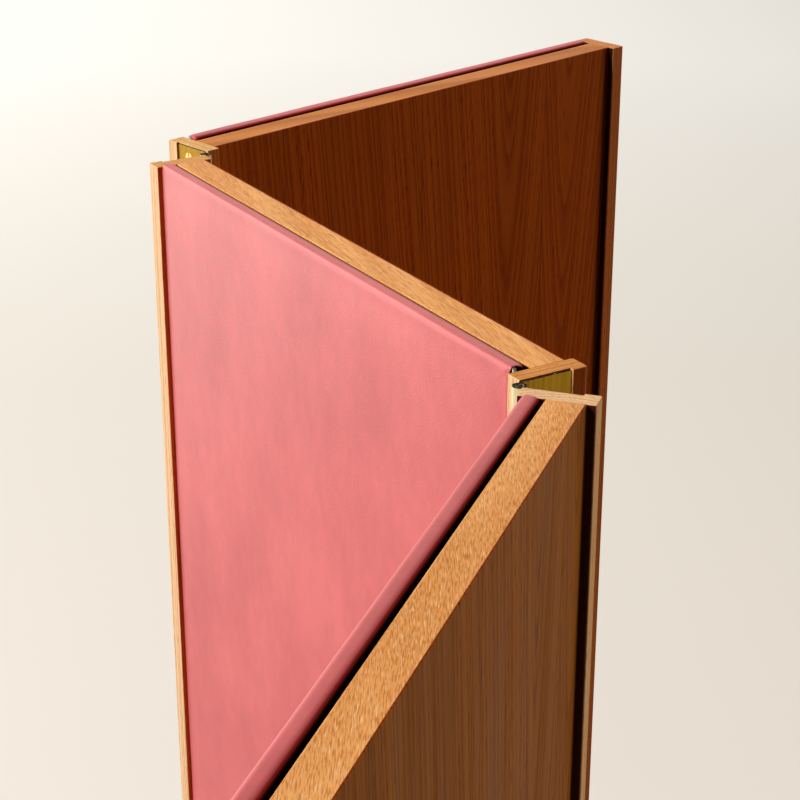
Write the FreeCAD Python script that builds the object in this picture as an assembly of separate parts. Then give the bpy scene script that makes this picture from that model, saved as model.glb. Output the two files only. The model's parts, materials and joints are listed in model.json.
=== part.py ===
import FreeCAD, Part
import os

# Folding screen of three panels: veneered wood on one side, leather-covered pads on the other.
# Millimetres, +Z up from the floor. Left and right are as seen from the leather side.
# Each panel is modelled along X with its wood face at Y = 0 and its leather towards -Y.

# The whole screen
screen_height = 1700.0      # floor to the top of the wood
panel_width = 450.0         # over the edge strips
left_fold = 77.0            # degrees that the left panel stands turned from in line
right_fold = 50.0           # the same for the right panel

# Veneered board with solid wood lippings
board_thickness = 19.0
veneer_thickness = 1.0
lipping_height = 12.0

# Edge strips that close the panel's ends
strip_thickness = 13.0
strip_wood_proud = 5.0      # strip beyond the wood face
strip_pad_proud = 1.9       # strip beyond the leather
strip_corner_radius = 1.5   # rounding of the strip's upright wood-side corners
arris_radius = 0.5          # eased corners of the wood

# Leather pad, standing off the board
pad_gap = 2.7               # shadow gap behind the pad
pad_left_gap = 0.6          # between the pad and the left strip
pad_right_gap = 2.4         # between the pad and the right strip
pad_top_rise = 1.6          # pad above the wood's top
pad_bottom_rise = 1.0       # pad above the wood's bottom
pad_board_thickness = 5.0
pad_foam_thickness = 3.0
leather_thickness = 1.2
pad_front_radius = 2.5      # rounding of the padded front edges
pad_corner_radius = 4.0     # rounding of the four corners
pad_back_radius = 1.5
leather_turn_in = 25.0      # width of leather glued behind the pad

# Studs that push into sockets in the board and hold the pad
stud_rows = 5
stud_inset = 60.0           # from the pad's edges to the outer studs
stud_flange_diameter = 18.0
stud_spigot_diameter = 8.0
stud_spigot_length = 14.0
stud_screw_diameter = 3.0
stud_screw_bite = 4.0       # length in the pad board
stud_screw_head_diameter = 5.5
stud_screw_head_height = 2.0
stud_screw_head_sink = 1.0  # head below the spigot's end
socket_wall = 2.0
socket_spare_length = 1.5   # socket beyond the spigot's end

# Dowels between board and strips
dowel_diameter = 8.0
dowel_strip_depth = 6.0
dowel_board_depth = 24.0
dowel_chamfer = 1.0
screws_per_dowel = 4        # hinge screw spaces from one dowel to the next

# Hinges along the full height
hinge_end_drop = 0.8        # hinge short of the strips' ends
leaf_thickness = 1.5
leaf_margin = 9.0           # plain wood left beside the rebate
leaf_edge_gap = 0.4         # leaf to the rebate's shoulder
rebate_depth = 2.5
pin_diameter = 4.8
pin_chamfer = 0.5
pivot_outset = 2.5          # pin's axis outside the strips' edges
knuckle_count = 33
knuckle_gap = 0.4
knuckle_notch_gap = 0.6     # leaf to the other leaf's knuckles
hinge_screw_count = 23
hinge_screw_near_end = 7.7  # hinge's one end to its first screw
hinge_screw_far_end = 14.0  # last screw to the hinge's other end
hinge_screw_line = 22.5     # pin's axis to the row of screws
hinge_screw_head_diameter = 7.0
hinge_screw_diameter = 4.2
hinge_screw_bite = 8.0      # length in the strip
hinge_screw_point = 2.0
screw_slot_width = 0.9
screw_slot_depth = 0.7

# Glides under the strips
glide_height = 3.0
glide_width = 8.0
glide_inset = 4.0           # from the strip's edges
glide_corner_radius = 3.0
glide_peg_diameter = 3.0
glide_peg_length = 8.0
glide_peg_inset = 6.0       # from the glide's ends to its pegs

# Clearances
bore_clearance = 0.1        # round pieces in their bores, on the radius
bore_spare_depth = 0.5      # blind bores beyond what goes in

# Worked out from the sizes above
core_thickness = board_thickness + 2 * veneer_thickness
pad_thickness = pad_board_thickness + pad_foam_thickness + 2 * leather_thickness
leather_reach = core_thickness + pad_gap + pad_thickness + strip_pad_proud
wood_bottom = glide_height
pad_left = strip_thickness + pad_left_gap
pad_right = panel_width - strip_thickness - pad_right_gap
pad_bottom = wood_bottom + pad_bottom_rise
pad_top = screen_height + pad_top_rise
barrel_radius = pin_diameter / 2 + bore_clearance + leaf_thickness
hinge_face_gap = barrel_radius - rebate_depth       # pin's axis to the strip's outer face
rebate_width = strip_wood_proud + leather_reach - leaf_margin
hinge_bottom = wood_bottom + hinge_end_drop
hinge_top = screen_height - hinge_end_drop
knuckle_pitch = (hinge_top - hinge_bottom) / knuckle_count
screw_run = hinge_top - hinge_bottom - hinge_screw_near_end - hinge_screw_far_end
screw_pitch = screw_run / (hinge_screw_count - 1)
screw_offsets = [hinge_screw_near_end + i * screw_pitch for i in range(hinge_screw_count)]
dowel_heights = [hinge_top - offset - screw_pitch / 2 for offset in screw_offsets[1:-1:screws_per_dowel]]
dowel_y = -core_thickness / 2
stud_flange_thickness = pad_gap + leather_thickness
socket_length = stud_spigot_length + socket_spare_length
socket_radius = stud_spigot_diameter / 2 + bore_clearance + socket_wall

Vec = FreeCAD.Vector
up = Vec(0, 0, 1)
left_end = -1               # ends of a panel
right_end = 1
wood_side = 1               # sides of a panel
leather_side = -1
match_tolerance = 1e-6      # when two coordinates count as one


def block(x_pair, y_pair, z_pair):
    # box between two values on each axis, in either order
    low = Vec(min(x_pair), min(y_pair), min(z_pair))
    high = Vec(max(x_pair), max(y_pair), max(z_pair))
    size = high - low
    return Part.makeBox(size.x, size.y, size.z, low)


def turned(profile, base, direction):
    # round piece from (radius, distance) points along an axis
    points = [Vec(radius, 0, along) for radius, along in profile]
    outline = Part.makePolygon(points + points[:1])
    solid = Part.Face(outline).revolve(Vec(), up, 360)
    solid.Placement = FreeCAD.Placement(base, FreeCAD.Rotation(up, direction))
    return solid


def rod(radius, length, base, direction):
    return turned([(0, 0), (radius, 0), (radius, length), (0, length)], base, direction)


def ring_profile(inner, outer, length):
    return [(inner, 0), (outer, 0), (outer, length), (inner, length)]


def chamfered_profile(radius, length, chamfer):
    return [(0, 0), (radius - chamfer, 0), (radius, chamfer), (radius, length - chamfer),
            (radius - chamfer, length), (0, length)]


def bored(solid, tools):
    return solid.cut(Part.makeCompound(tools)) if tools else solid


def edges_where(solid, test):
    return [edge for edge in solid.Edges if all(test(vertex.Point) for vertex in edge.Vertexes)]


def same(a, b):
    return abs(a - b) < match_tolerance


def into_panel(end, depth):
    # X at a depth inwards from the panel's outer face
    return depth if end == left_end else panel_width - depth


def inwards(end):
    return Vec(-end, 0, 0)


def hinge_point(end, side, along, out, z):
    # along runs from the pin's axis down the strip's depth, out runs from the axis to the strip
    edge_y = strip_wood_proud if side == wood_side else -leather_reach
    return Vec(into_panel(end, out - hinge_face_gap), edge_y + side * (pivot_outset - along), z)


# Wood of a panel


def dowel_bases():
    return [(end, Vec(into_panel(end, strip_thickness - dowel_strip_depth), dowel_y, z))
            for end in (left_end, right_end) for z in dowel_heights]


def dowels():
    length = dowel_strip_depth + dowel_board_depth
    profile = chamfered_profile(dowel_diameter / 2, length, dowel_chamfer)
    return Part.makeCompound([turned(profile, base, inwards(end)) for end, base in dowel_bases()])


def dowel_bores(ends):
    length = dowel_strip_depth + dowel_board_depth + 2 * bore_spare_depth
    bores = []
    for end, base in dowel_bases():
        if end in ends:
            start = base - inwards(end) * bore_spare_depth
            bores.append(rod(dowel_diameter / 2 + bore_clearance, length, start, inwards(end)))
    return bores


def edge_strip(end, hinge_side):
    x_pair = (into_panel(end, 0), into_panel(end, strip_thickness))
    solid = block(x_pair, (strip_wood_proud, -leather_reach), (wood_bottom, screen_height))
    upright = [edge for edge in solid.Edges if not same(edge.Vertexes[0].Z, edge.Vertexes[1].Z)]
    wood_corners = [edge for edge in upright if same(edge.Vertexes[0].Y, strip_wood_proud)]
    leather_corners = [edge for edge in upright if same(edge.Vertexes[0].Y, -leather_reach)]
    solid = solid.makeFillet(strip_corner_radius, wood_corners).makeFillet(arris_radius, leather_corners)
    solid = solid.makeFillet(arris_radius, edges_where(solid, lambda p: same(p.z, screen_height)))
    tools = dowel_bores([end]) + glide_peg_bores(end)
    if hinge_side:
        near = hinge_point(end, hinge_side, 0, barrel_radius, wood_bottom)
        far = hinge_point(end, hinge_side, pivot_outset + rebate_width, -barrel_radius, screen_height)
        tools.append(block((near.x, far.x), (near.y, far.y), (near.z, far.z)))
        tools += hinge_screw_bores(end, hinge_side)
    return bored(solid, tools)


def between_strips(y_pair, z_pair):
    return block((strip_thickness, panel_width - strip_thickness), y_pair, z_pair)


def panel_wood():
    face_y = -veneer_thickness
    back_y = -veneer_thickness - board_thickness
    board_z = (wood_bottom + lipping_height, screen_height - lipping_height)
    full_z = (wood_bottom, screen_height)
    board = between_strips((face_y, back_y), board_z)
    back = between_strips((back_y, -core_thickness), full_z)
    eased = edges_where(back, lambda p: same(p.z, screen_height) and same(p.y, -core_thickness))
    back = back.makeFillet(arris_radius, eased)
    return {
        "core_board": bored(board, dowel_bores([left_end, right_end]) + socket_bores()),
        "top_lipping": between_strips((face_y, back_y), (board_z[1], screen_height)),
        "bottom_lipping": between_strips((face_y, back_y), (wood_bottom, board_z[0])),
        "face_veneer": between_strips((0, face_y), full_z),
        "back_veneer": bored(back, socket_bores()),
        "dowels": dowels(),
    }


# Leather pad and what holds it


def padded_slab(inset):
    # pad's outer form, or the same form an even distance inside it
    front_y = -core_thickness - pad_gap - pad_thickness + inset
    back_y = -core_thickness - pad_gap - inset
    x_pair = (pad_left + inset, pad_right - inset)
    z_pair = (pad_bottom + inset, pad_top - inset)
    slab = block(x_pair, (front_y, back_y), z_pair)
    corners = [edge for edge in slab.Edges if not same(edge.Vertexes[0].Y, edge.Vertexes[1].Y)]
    slab = slab.makeFillet(pad_corner_radius - inset, corners)
    slab = slab.makeFillet(pad_front_radius - inset, edges_where(slab, lambda p: same(p.y, front_y)))
    if pad_back_radius > inset:
        back_edges = edges_where(slab, lambda p: same(p.y, back_y))
        slab = slab.makeFillet(pad_back_radius - inset, back_edges)
    return slab


def stud_places():
    # centres of the studs on the back of the pad board
    y = -core_thickness - stud_flange_thickness
    low = pad_bottom + stud_inset
    step = (pad_top - stud_inset - low) / (stud_rows - 1)
    return [Vec(x, y, low + row * step)
            for x in (pad_left + stud_inset, pad_right - stud_inset) for row in range(stud_rows)]


to_board = Vec(0, 1, 0)     # from the pad towards the board


def socket_places():
    return [place + to_board * stud_flange_thickness for place in stud_places()]


def socket_bores():
    radius = socket_radius + bore_clearance
    length = socket_length + bore_spare_depth
    return [rod(radius, length, place, to_board) for place in socket_places()]


def stud_profile():
    hole = stud_screw_diameter / 2 + bore_clearance
    spigot = stud_spigot_diameter / 2
    head = stud_screw_head_diameter / 2 + bore_clearance
    end = stud_flange_thickness + stud_spigot_length
    seat = end - stud_screw_head_sink - stud_screw_head_height
    flange = stud_flange_diameter / 2
    return [(hole, 0), (flange, 0), (flange, stud_flange_thickness), (spigot, stud_flange_thickness),
            (spigot, end), (head, end), (head, seat), (hole, seat)]


def stud_screw_profile():
    shank = stud_screw_diameter / 2
    head = stud_screw_head_diameter / 2
    top = stud_flange_thickness + stud_spigot_length - stud_screw_head_sink
    seat = top - stud_screw_head_height
    return [(0, -stud_screw_bite), (shank, -stud_screw_bite), (shank, seat), (head, seat), (head, top), (0, top)]


def stud_screw_bores():
    radius = stud_screw_diameter / 2 + bore_clearance
    length = stud_screw_bite + bore_clearance
    return [rod(radius, length, place, -to_board) for place in stud_places()]


def at_each(profile, places):
    return Part.makeCompound([turned(profile, place, to_board) for place in places])


def panel_pad():
    outer = padded_slab(0)
    inner = padded_slab(leather_thickness)
    room = inner.BoundBox
    board_back = -core_thickness - pad_gap - leather_thickness
    board_front = board_back - pad_board_thickness
    x_pair = (room.XMin, room.XMax)
    z_pair = (room.ZMin, room.ZMax)
    board = inner.common(block(x_pair, (board_back, board_front), z_pair))
    foam = inner.common(block(x_pair, (board_front, room.YMin), z_pair))
    window_x = (pad_left + leather_turn_in, pad_right - leather_turn_in)
    window_z = (pad_bottom + leather_turn_in, pad_top - leather_turn_in)
    window = block(window_x, (-core_thickness, board_back), window_z)
    socket = ring_profile(stud_spigot_diameter / 2 + bore_clearance, socket_radius, socket_length)
    return {
        "pad_board": bored(board, stud_screw_bores()),
        "pad_foam": foam,
        "leather": outer.cut(inner).cut(window),
        "pad_studs": at_each(stud_profile(), stud_places()),
        "pad_sockets": at_each(socket, socket_places()),
        "stud_screws": at_each(stud_screw_profile(), stud_places()),
    }


# Glides


def glide_centre_x(end):
    return into_panel(end, (rebate_depth + strip_thickness) / 2)


def glide_ends():
    return strip_wood_proud - glide_inset, glide_inset - leather_reach


def glide_pegs(end, radius, length):
    first, last = glide_ends()
    return [rod(radius, length, Vec(glide_centre_x(end), y, wood_bottom), up)
            for y in (first - glide_peg_inset, last + glide_peg_inset)]


def glide_peg_bores(end):
    return glide_pegs(end, glide_peg_diameter / 2 + bore_clearance, glide_peg_length + bore_spare_depth)


def glide(end):
    x = glide_centre_x(end)
    foot = block((x - glide_width / 2, x + glide_width / 2), glide_ends(), (0, glide_height))
    foot = foot.makeFillet(glide_corner_radius, [edge for edge in foot.Edges
                                                 if not same(edge.Vertexes[0].Z, edge.Vertexes[1].Z)])
    return foot.multiFuse(glide_pegs(end, glide_peg_diameter / 2, glide_peg_length)).removeSplitter()


# Hinges


def screw_places(end, side):
    # centres of the screw heads on the leaf's face; a leather-side hinge stands the other way up
    face = barrel_radius - leaf_thickness
    heights = [hinge_top - offset if side == wood_side else hinge_bottom + offset for offset in screw_offsets]
    return [hinge_point(end, side, hinge_screw_line, face, z) for z in heights]


def screw_profile(clearance, spare):
    head = hinge_screw_head_diameter / 2 + clearance
    shank = hinge_screw_diameter / 2 + clearance
    head_height = head - shank
    length = leaf_thickness + hinge_screw_bite + spare
    return [(0, 0), (head, 0), (shank, head_height), (shank, length - hinge_screw_point), (0, length)]


def hinge_screws(end, side):
    head = hinge_screw_head_diameter / 2
    slot = block((-head, head), (-screw_slot_width / 2, screw_slot_width / 2), (0, screw_slot_depth))
    screws = []
    for place in screw_places(end, side):
        screw = turned(screw_profile(0, 0), Vec(), up).cut(slot)
        screw.Placement = FreeCAD.Placement(place, FreeCAD.Rotation(up, inwards(end)))
        screws.append(screw)
    return Part.makeCompound(screws)


def hinge_screw_bores(end, side):
    profile = screw_profile(bore_clearance, bore_spare_depth)
    return [turned(profile, place, inwards(end)) for place in screw_places(end, side)]


def knuckle(end, side, index):
    # barrel rolled from the leaf: the leaf's back runs on as a tangent to the barrel
    low = hinge_bottom + index * knuckle_pitch + knuckle_gap / 2
    face = barrel_radius - leaf_thickness
    root = barrel_radius + knuckle_notch_gap

    def point(along, out):
        return hinge_point(end, side, along, out, low)

    meet = (barrel_radius ** 2 - face ** 2) ** 0.5
    roll_end = point(meet, face)
    outline = [
        Part.LineSegment(point(root, barrel_radius), point(0, barrel_radius)),
        Part.Arc(point(0, barrel_radius), point(-barrel_radius, 0), point(0, -barrel_radius)),
        Part.Arc(point(0, -barrel_radius), point(barrel_radius, 0), roll_end),
        Part.LineSegment(roll_end, point(root, face)),
        Part.LineSegment(point(root, face), point(root, barrel_radius)),
    ]
    profile = Part.Face(Part.Wire([curve.toShape() for curve in outline]))
    height = knuckle_pitch - knuckle_gap
    bore = rod(pin_diameter / 2 + bore_clearance, height, point(0, 0), up)
    return profile.extrude(up * height).cut(bore)


def hinge_leaf(end, side, first_knuckle):
    near = hinge_point(end, side, barrel_radius + knuckle_notch_gap, barrel_radius - leaf_thickness, hinge_bottom)
    far = hinge_point(end, side, pivot_outset + rebate_width - leaf_edge_gap, barrel_radius, hinge_top)
    plate = block((near.x, far.x), (near.y, far.y), (near.z, far.z))
    knuckles = [knuckle(end, side, index) for index in range(first_knuckle, knuckle_count, 2)]
    leaf = plate.multiFuse(knuckles).removeSplitter()
    return bored(leaf, hinge_screw_bores(end, side))


def hinge_pin(end, side):
    profile = chamfered_profile(pin_diameter / 2, hinge_top - hinge_bottom, pin_chamfer)
    return turned(profile, hinge_point(end, side, 0, 0, hinge_bottom), up)


# Panels, each with the hinge leaves that are screwed to it


def panel(hinge_sides):
    pieces = panel_wood()
    pieces.update(panel_pad())
    for end, word in ((left_end, "left"), (right_end, "right")):
        pieces["strip_" + word] = edge_strip(end, hinge_sides.get(end))
    pieces["glides"] = Part.makeCompound([glide(left_end), glide(right_end)])
    return pieces


def named(prefix, pieces):
    return {prefix + "_" + name: shape for name, shape in pieces.items()}


left_hinge = (left_end, wood_side)          # as placed on the middle panel
right_hinge = (right_end, leather_side)
left_nodes = named("left_panel", panel({right_end: wood_side}))
left_nodes["left_hinge_outer_leaf"] = hinge_leaf(right_end, wood_side, 1)
left_nodes["left_hinge_outer_screws"] = hinge_screws(right_end, wood_side)
middle_nodes = named("middle_panel", panel({left_end: wood_side, right_end: leather_side}))
for word, place in (("left", left_hinge), ("right", right_hinge)):
    middle_nodes[word + "_hinge_inner_leaf"] = hinge_leaf(*place, 0)
    middle_nodes[word + "_hinge_inner_screws"] = hinge_screws(*place)
    middle_nodes[word + "_hinge_pin"] = hinge_pin(*place)
right_nodes = named("right_panel", panel({left_end: leather_side}))
right_nodes["right_hinge_outer_leaf"] = hinge_leaf(left_end, leather_side, 1)
right_nodes["right_hinge_outer_screws"] = hinge_screws(left_end, leather_side)

# Side panels moved out in line with the middle one, then folded about the pins
panel_step = panel_width + 2 * hinge_face_gap
left_pivot = hinge_point(*left_hinge, 0, 0, 0)
right_pivot = hinge_point(*right_hinge, 0, 0, 0)
for nodes, step, pivot, fold in ((left_nodes, -panel_step, left_pivot, left_fold),
                                 (right_nodes, panel_step, right_pivot, right_fold)):
    for shape in nodes.values():
        shape.translate(Vec(step, 0, 0))
        shape.rotate(pivot, up, -fold)

# Origin on the floor, below the middle of the standing screen
nodes = {**left_nodes, **middle_nodes, **right_nodes}
extent = Part.makeCompound(list(nodes.values())).optimalBoundingBox()
to_origin = -Vec(extent.Center.x, extent.Center.y, 0)
os.makedirs("parts", exist_ok=True)
for name, shape in nodes.items():
    shape.translate(to_origin)
    shape.exportStep("parts/" + name + ".step")
print("nodes", len(nodes), "size", round(extent.XLength, 2), round(extent.YLength, 2), round(extent.ZLength, 2))
for word, pivot in (("left", left_pivot), ("right", right_pivot)):
    print(word, "hinge axis", round(pivot.x + to_origin.x, 4), round(pivot.y + to_origin.y, 4))
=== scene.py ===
import json

import bpy
import numpy as np
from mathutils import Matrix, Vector


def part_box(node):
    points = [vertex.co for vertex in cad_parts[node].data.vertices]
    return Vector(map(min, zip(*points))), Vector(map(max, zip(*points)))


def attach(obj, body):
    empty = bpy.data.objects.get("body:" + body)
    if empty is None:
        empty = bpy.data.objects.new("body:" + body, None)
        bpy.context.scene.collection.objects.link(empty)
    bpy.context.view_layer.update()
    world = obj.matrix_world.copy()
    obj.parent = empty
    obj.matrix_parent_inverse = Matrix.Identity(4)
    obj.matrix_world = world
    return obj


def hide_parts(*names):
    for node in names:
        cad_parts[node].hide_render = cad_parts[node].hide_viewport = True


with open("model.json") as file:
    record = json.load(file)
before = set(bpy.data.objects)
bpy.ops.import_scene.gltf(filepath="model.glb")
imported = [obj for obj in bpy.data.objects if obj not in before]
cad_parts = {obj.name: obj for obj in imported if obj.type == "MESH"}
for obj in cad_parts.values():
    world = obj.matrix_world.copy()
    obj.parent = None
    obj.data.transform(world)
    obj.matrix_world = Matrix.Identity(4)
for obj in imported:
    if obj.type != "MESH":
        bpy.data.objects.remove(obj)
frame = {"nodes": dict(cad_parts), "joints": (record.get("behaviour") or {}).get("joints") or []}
for name in ("Cube", "Camera", "Light"):  # what a new Blender file starts with
    if name in bpy.data.objects:
        bpy.data.objects.remove(bpy.data.objects[name])
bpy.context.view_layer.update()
scene = bpy.context.scene
scene.view_settings.view_transform = "Standard"
mm = 0.001


# Where the three panels stand

padLow, padHigh = (np.array(corner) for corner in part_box("middle_panel_leather"))
boardLow, boardHigh = (np.array(corner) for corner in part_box("middle_panel_pad_board"))
padMiddle = (padLow + padHigh) / 2
panelMiddle = (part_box("middle_panel_strip_left")[0][0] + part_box("middle_panel_strip_right")[1][0]) / 2
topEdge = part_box("middle_panel_back_veneer")[1][2]

# A side panel is the middle one slid past its hinge, as far again as the pin is, and turned about it
panels = {"middle": {"turn": 0.0, "pin": np.zeros(2), "slide": 0.0}}
for joint in frame["joints"]:
    pin = np.array(joint["pos_m"][:2])
    panels[joint["child"].replace("_panel", "")] = {
        "turn": np.radians(joint["range_deg"][0]),
        "pin": pin,
        "slide": 2 * (pin[0] - panelMiddle),
    }


def turnMatrix(turn):
    return np.array([[np.cos(turn), -np.sin(turn)], [np.sin(turn), np.cos(turn)]])


def placed(points, panel):  # from the middle panel's place to that panel's
    spot = panels[panel]
    plan = points[:, :2] + (spot["slide"], 0) - spot["pin"]
    return np.column_stack((plan @ turnMatrix(spot["turn"]).T + spot["pin"], points[:, 2]))


# Materials: small helpers

noiseSpan = (0.3, 0.7)  # most of a noise's values lie between these
turnedTo = (0.6, 0.9)  # cosines at which a face begins to look a way, and does so fully
rgba = {"data_type": "RGBA"}  # from here on, settings that many nodes share
multiply, multiplyAdd, subtract, length, larger = (
    {"operation": kind} for kind in ("MULTIPLY", "MULTIPLY_ADD", "SUBTRACT", "LENGTH", "MAXIMUM"))
flatten = {**multiply, 1: (1.0, 1.0, 0.0)}  # leaves out the third direction


def tint(hexText):  # sRGB hex to linear
    srgb = np.array([int(hexText[i:i + 2], 16) for i in (1, 3, 5)]) / 255
    linear = np.where(srgb <= 0.04045, srgb / 12.92, ((srgb + 0.055) / 1.055) ** 2.4)
    return (*linear.tolist(), 1.0)


def inTurn(*values):  # values for a node's sockets, from number 1 on
    return dict(enumerate(values, 1))


def addNode(tree, kind, settings=(), links=()):
    # lower-case keys are the node's own settings, others its sockets; stops are a ramp's (place, hex)
    node = tree.nodes.new("ShaderNode" + kind)
    for key, value in dict(settings).items():
        if key == "stops":
            ramp = node.color_ramp.elements
            while len(ramp) < len(value):
                ramp.new(1.0)
            for element, (spot, hexText) in zip(ramp, value):
                element.position, element.color = spot, tint(hexText)
        elif isinstance(key, str) and key[0].islower():
            setattr(node, key, value)
        else:
            node.inputs[key].default_value = value
    for key, source in dict(links).items():
        tree.links.new(source, node.inputs[key])
    return node.outputs


def newMaterial(name, settings):
    material = bpy.data.materials.new(name)
    material.use_nodes = True
    tree = material.node_tree
    tree.nodes.clear()
    shader = addNode(tree, "BsdfPrincipled", settings)[0].node
    addNode(tree, "OutputMaterial", links={"Surface": shader.outputs[0]})
    return material, tree, shader


def wire(tree, shader, sources):  # what drives each of the shader's sockets
    for socket, source in sources.items():
        tree.links.new(source, shader.inputs[socket])


def panelSpace(tree, panel):
    # Object coordinates turned back into the middle panel's directions, so that grain follows a panel
    spot = panels[panel]
    back = spot["pin"] - (spot["slide"], 0) - turnMatrix(-spot["turn"]) @ spot["pin"]
    place = addNode(tree, "TexCoord")["Object"]
    settings = {"Location": (*back, 0.0), "Rotation": (0.0, 0.0, -spot["turn"])}
    return addNode(tree, "Mapping", settings, {"Vector": place})[0]


def stretched(tree, vector, cell):  # a pattern's cell in mm, across, through and along
    settings = {**multiply, 1: tuple(1 / (size * mm) for size in cell)}
    return addNode(tree, "VectorMath", settings, {0: vector})[0]


def facings(tree, turn):  # how far a face looks towards its own panel's +x, its +y, and up or down
    facing = addNode(tree, "NewGeometry")["True Normal"]
    settings = {"vector_type": "NORMAL", "convert_from": "WORLD", "convert_to": "OBJECT"}
    facing = addNode(tree, "VectorTransform", settings, {0: facing})[0]  # the same at every pose
    settings = {"rotation_type": "Z_AXIS", "Angle": -turn}
    facing = addNode(tree, "VectorRotate", settings, {"Vector": facing})[0]
    parts = list(addNode(tree, "SeparateXYZ", links={0: facing}))
    parts[2] = addNode(tree, "Math", {"operation": "ABSOLUTE"}, {0: parts[2]})[0]
    return [addNode(tree, "MapRange", inTurn(*turnedTo), {0: part})[0] for part in parts]


def dress(nodeName, material):
    for slot in frame["nodes"][nodeName].material_slots:
        slot.material = material


# Oak, sawn and oiled: ring-porous, so dark pore ticks lie in bands along its rings; oil gives a soft gloss

oakCommon = {  # cells in mm, across, through and along the grain; a mark grows between a noise's two cuts
    # face tones, for faces turned +x, +y and up or down: painted shade on the first two, oil on end grain
    "slant": 0.0, "start": (0, 0), "cluster": 1.0, "tones": ("#FFFFFF", "#FFFFFF", "#FFFFFF"),
    "bendCell": (45, 45, 420), "fibreCell": (2.2, 2.2, 150), "bandCell": (24, 24, 900),
    "growthScale": 0.4, "earlyPart": (0.1, 0.6),
    "streakCut": (0.42, 0.72), "fleckCut": (0.56, 0.74), "crowdCut": (0.42, 0.6),
    "relief": 0.35, "reliefDepth": 0.15, "rough": (0.42, 0.6),
    # painted shade: black inside the shadow gap, and where it stops under the top edge
    "stain": "#0C0907", "stainEdge": (1.2, 0.6),
}
oakLooks = {
    "lipping": {  # a long edge strip seen from above, its grain a little aslant to the panel
        "grain": "x", "slant": 0.08, "shine": 0.1,
        "early": "#ECA55F", "late": "#F6B56E", "deep": "#E6A15A", "pale": "#FFCC90", "pore": "#B46414",
        "ring": 2.2, "growth": 1.0, "pith": (-60, -25), "taper": 0.01, "wander": 2,
        "streak": 0.15, "shade": (0.97, 1.03),
        "poreCell": (0.5, 0.5, 3.0), "poreCut": (0.49, 0.64), "poreDark": 0.65, "latePore": 0.85,
        "fleckCell": (0.5, 0.5, 3.2), "fleckPale": 0.65,
    },
    "strip": {  # upright edge strips, paler wood, end grain on top
        "grain": "z", "shine": 0.06, "tones": ("#FFFFFF", "#CA9058", "#EDBA80"),
        "early": "#E6BA8C", "late": "#F0C89E", "deep": "#D3A371", "pale": "#FCE6C6", "pore": "#80501F",
        "ring": 3.2, "growth": 2.0, "pith": (45, 30), "taper": 0.01, "wander": 4,
        "streak": 0.4, "shade": (0.92, 1.08),
        "poreCell": (0.7, 0.7, 8), "poreCut": (0.56, 0.66), "poreDark": 0.6, "latePore": 0.4,
        "fleckCell": (0.9, 0.9, 14), "fleckPale": 0.35,
    },
    "veneer": {  # leaves side by side, the first crown-cut, the next cut further out and so straighter
        "grain": "z", "shine": 0.02, "tones": ("#FFFFFF", "#FFFFFF", "#C89068"),
        "early": "#9E601D", "late": "#AA6C25", "deep": "#935817", "pale": "#C58634", "pore": "#3A1A02",
        "ring": 6.0, "growth": 4.0, "pith": (46, 26), "taper": -0.09, "wander": 6,
        "streak": 0.14, "shade": (0.86, 1.12),
        "poreCell": (0.9, 0.9, 11), "poreCut": (0.53, 0.64), "poreDark": 0.8, "latePore": 0.3,
        "cluster": 0.4, "fleckCell": (1.0, 1.0, 12), "fleckPale": 0.25,
        "leaf": 141.4, "leafShift": (70, 310),
        "joint": 0.3, "gapeCell": (200, 200, 90), "gapeCut": (0.48, 0.56), "gape": (0.15, 0.9),
    },
}
# what each piece has of its own: the tone of its log, with painted shade in the redder lots, the place of
# its cut, and its face tones, painted shade on right-hand and wood-side faces and oil on end grain
# painted shade: redder, darker copies of the veneer and lipping, matched to the far panel's wood in deep
# shade
shadedRedVeneer = {
    "early": "#A54D12", "late": "#B05A17", "deep": "#98430B", "pale": "#C97226", "pore": "#3A1200",
}
shadedRedLipping = {"early": "#C2732B", "late": "#D08338", "deep": "#AE6320", "pale": "#DCA05A"}
crossGrain = {  # flecks and pores need different cells, or they would lie on each other
    "slant": -0.3, "pale": "#FFD49C",
    "poreCell": (0.55, 0.55, 6.0), "poreCut": (0.46, 0.64), "poreDark": 0.75,
    "fleckCell": (0.66, 0.66, 7.5), "fleckPale": 0.8,
}
longGrain = {
    "slant": 0.15, "streak": 0.8,
    "poreCell": (0.6, 0.6, 9), "fleckCell": (0.9, 0.9, 34), "fleckPale": 0.7,
}
# painted shade: its first tone makes the strip's inner face nearly black
paleStrip = {
    "early": "#EFC9A0", "late": "#F7D8B4", "deep": "#DDB384", "pale": "#FFF0DA", "pore": "#7A4A20",
    "tones": ("#4A2410", "#FFF4D8", "#FFF4E6"),
}
# painted shade: a piece's first tone darkens its right-hand faces and its second its wood-side faces,
# darkest on strips' inner faces
oakLots = {
    "left": {
        "face_veneer": {**shadedRedVeneer, "start": (64, 0), "pith": (112, 26)},
        "top_lipping": shadedRedLipping,
        "strip_left": {"tones": ("#3A1A0C", "#CA9058", "#EDBA80")},
        "strip_right": {"tones": ("#FFFFFF", "#CA9058", "#FFF5CB")},
    },
    "middle": {
        "face_veneer": {**shadedRedVeneer, "start": (15, 120)},
        "top_lipping": longGrain,
        "strip_left": {"tones": ("#D48C50", "#CA9058", "#F7DAA5")},
        "strip_right": {"tones": ("#D48C50", "#CA9058", "#EFC88B")},
    },
    "right": {
        "face_veneer": {"start": (105, 37), "pith": (118, 26)},
        "top_lipping": crossGrain,
        "strip_left": paleStrip,
    },
}
oakPieces = {
    "top_lipping": "lipping", "bottom_lipping": "lipping", "back_veneer": "lipping",
    "face_veneer": "veneer", "strip_left": "strip", "strip_right": "strip",
}


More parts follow.
